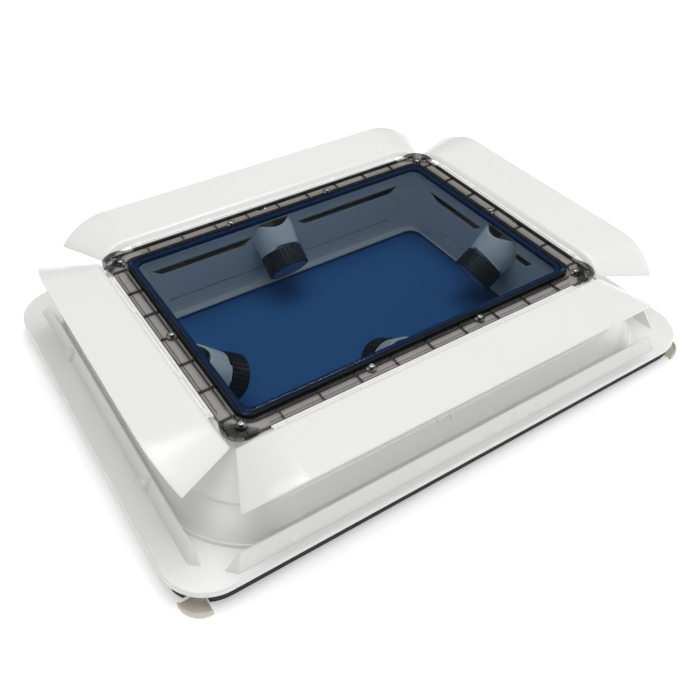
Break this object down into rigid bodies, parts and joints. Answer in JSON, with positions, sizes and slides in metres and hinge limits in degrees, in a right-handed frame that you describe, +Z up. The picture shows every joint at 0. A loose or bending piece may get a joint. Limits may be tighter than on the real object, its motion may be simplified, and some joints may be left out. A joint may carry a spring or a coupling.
{
  "type": "caravan roof vent",
  "caption": "Low white caravan roof vent: smoked fixed cover over a well, hinged flaps on every side each worked by its own knob, gutter flange, lower frame and roller blind.",
  "frame": {"origin": "centre of the vent in plan, on the underside that stands on the roof", "axes": "+Z up out of the roof, X along the long side, the pictured near corner towards -X and -Y"},
  "size_m": [0.8614, 0.642, 0.1595],
  "materials": {
    "white_shell": "smooth moulded white, UV stable",
    "white_liner": "satin moulded white",
    "cream_frame": "satin moulded cream",
    "black_foam": "closed-cell foam",
    "smoked_rim": "smoked see-through moulding",
    "black_rubber": "extruded rubber",
    "smoked_pane": "blue-grey smoked acrylic",
    "steel_screw": "bright zinc",
    "pale_rubber": "pale silicone",
    "blue_cloth": "smooth coated blackout cloth",
    "bare_aluminium": "satin anodised",
    "steel_pin": "drawn stainless steel",
    "grey_plastic": "glass-filled nylon",
    "blue_grey_cap": "satin moulded pale blue-grey",
    "dark_plastic": "fine-grained dark moulding"
  },
  "bodies": {
    "vent": {"roof_base": "white_shell", "well_liner": "white_liner", "lower_frame": "cream_frame", "foam_strips": "black_foam", "smoked_rim": "smoked_rim", "rim_gasket": "black_rubber", "smoked_pane": "smoked_pane", "cover_screws": "steel_screw", "frame_screws": "steel_screw", "liner_screws": "steel_screw", "vent_seals": "pale_rubber", "blind_rails": "white_liner", "blind_cassette": "white_liner", "blind_cloth": "blue_cloth", "hinge_rod_back": "steel_pin", "hinge_rod_left": "steel_pin", "hinge_rod_front": "steel_pin", "hinge_rod_right": "steel_pin", "index_ring_back": "white_liner", "index_ring_left": "white_liner", "index_ring_front": "white_liner", "index_ring_right": "white_liner"},
    "flap_back_body": {"flap_back": "white_shell", "flap_lever_back": "white_liner", "lever_pin_back": "steel_pin"},
    "push_rod_back_body": {"push_rod_back": "grey_plastic", "circlip_back": "steel_pin"},
    "knob_back_body": {"knob_back": "dark_plastic", "knob_cap_back": "blue_grey_cap"},
    "flap_left_body": {"flap_left": "white_shell", "flap_lever_left": "white_liner", "lever_pin_left": "steel_pin"},
    "push_rod_left_body": {"push_rod_left": "grey_plastic", "circlip_left": "steel_pin"},
    "knob_left_body": {"knob_left": "dark_plastic", "knob_cap_left": "blue_grey_cap"},
    "flap_front_body": {"flap_front": "white_shell", "flap_lever_front": "white_liner", "lever_pin_front": "steel_pin"},
    "push_rod_front_body": {"push_rod_front": "grey_plastic", "circlip_front": "steel_pin"},
    "knob_front_body": {"knob_front": "dark_plastic", "knob_cap_front": "blue_grey_cap"},
    "flap_right_body": {"flap_right": "white_shell", "flap_lever_right": "white_liner", "lever_pin_right": "steel_pin"},
    "push_rod_right_body": {"push_rod_right": "grey_plastic", "circlip_right": "steel_pin"},
    "knob_right_body": {"knob_right": "dark_plastic", "knob_cap_right": "blue_grey_cap"},
    "pull_bar_body": {"blind_pull_bar": "bare_aluminium"},
    "roller_body": {"blind_roller": "bare_aluminium"}
  },
  "joints": [
    {"name": "flap_back_swing", "type": "hinge", "parent": "vent", "child": "flap_back_body", "pos_m": [0, 0.2192, 0.1354], "axis": [1, 0, 0], "range_deg": [-57.5, 6.5]},
    {"name": "push_rod_back_slide", "type": "slide", "parent": "vent", "child": "push_rod_back_body", "axis": [0, 0.809, 0.5878], "range_m": [-0.0145, 0.0024]},
    {"name": "knob_back_turn", "type": "hinge", "parent": "push_rod_back_body", "child": "knob_back_body", "pos_m": [-0.024, 0.129, 0.057], "axis": [0, 0.809, 0.5878], "range_deg": [-30, 155]},
    {"name": "flap_left_swing", "type": "hinge", "parent": "vent", "child": "flap_left_body", "pos_m": [-0.3077, 0, 0.1354], "axis": [0, 1, 0], "range_deg": [-62.7, 1.3]},
    {"name": "push_rod_left_slide", "type": "slide", "parent": "vent", "child": "push_rod_left_body", "axis": [-0.809, 0, 0.5878], "range_m": [-0.0145, 0.0024]},
    {"name": "knob_left_turn", "type": "hinge", "parent": "push_rod_left_body", "child": "knob_left_body", "pos_m": [-0.2175, -0.045, 0.057], "axis": [-0.809, 0, 0.5878], "range_deg": [-30, 155]},
    {"name": "flap_front_swing", "type": "hinge", "parent": "vent", "child": "flap_front_body", "pos_m": [0, -0.2192, 0.1354], "axis": [-1, 0, 0], "range_deg": [-55.3, 8.7]},
    {"name": "push_rod_front_slide", "type": "slide", "parent": "vent", "child": "push_rod_front_body", "axis": [0, -0.809, 0.5878], "range_m": [-0.0145, 0.0024]},
    {"name": "knob_front_turn", "type": "hinge", "parent": "push_rod_front_body", "child": "knob_front_body", "pos_m": [-0.024, -0.129, 0.057], "axis": [0, -0.809, 0.5878], "range_deg": [-30, 155]},
    {"name": "flap_right_swing", "type": "hinge", "parent": "vent", "child": "flap_right_body", "pos_m": [0.3077, 0, 0.1354], "axis": [0, -1, 0], "range_deg": [-56.6, 7.4]},
    {"name": "push_rod_right_slide", "type": "slide", "parent": "vent", "child": "push_rod_right_body", "axis": [0.809, 0, 0.5878], "range_m": [-0.0145, 0.0024]},
    {"name": "knob_right_turn", "type": "hinge", "parent": "push_rod_right_body", "child": "knob_right_body", "pos_m": [0.2175, -0.045, 0.057], "axis": [0.809, 0, 0.5878], "range_deg": [-30, 155]},
    {"name": "blind_slide", "type": "slide", "parent": "vent", "child": "pull_bar_body", "axis": [-1, 0, 0], "range_m": [0, 0.535], "deforming": ["blind_cloth"]},
    {"name": "blind_roller_turn", "type": "hinge", "parent": "vent", "child": "roller_body", "pos_m": [-0.3035, 0, 0.016], "axis": [0, 1, 0], "range_deg": [-60, 3000]}
  ],
  "couplings": [
    {"joint": "push_rod_back_slide", "follows": "flap_back_swing", "m_per_rad": 0.0125},
    {"joint": "knob_back_turn", "follows": "flap_back_swing", "ratio": -2.3438},
    {"joint": "push_rod_left_slide", "follows": "flap_left_swing", "m_per_rad": 0.0125},
    {"joint": "knob_left_turn", "follows": "flap_left_swing", "ratio": -2.3438},
    {"joint": "push_rod_front_slide", "follows": "flap_front_swing", "m_per_rad": 0.0125},
    {"joint": "knob_front_turn", "follows": "flap_front_swing", "ratio": -2.3438},
    {"joint": "push_rod_right_slide", "follows": "flap_right_swing", "m_per_rad": 0.0125},
    {"joint": "knob_right_turn", "follows": "flap_right_swing", "ratio": -2.3438},
    {"joint": "blind_roller_turn", "follows": "blind_slide", "rad_per_m": 94.34}
  ]
}
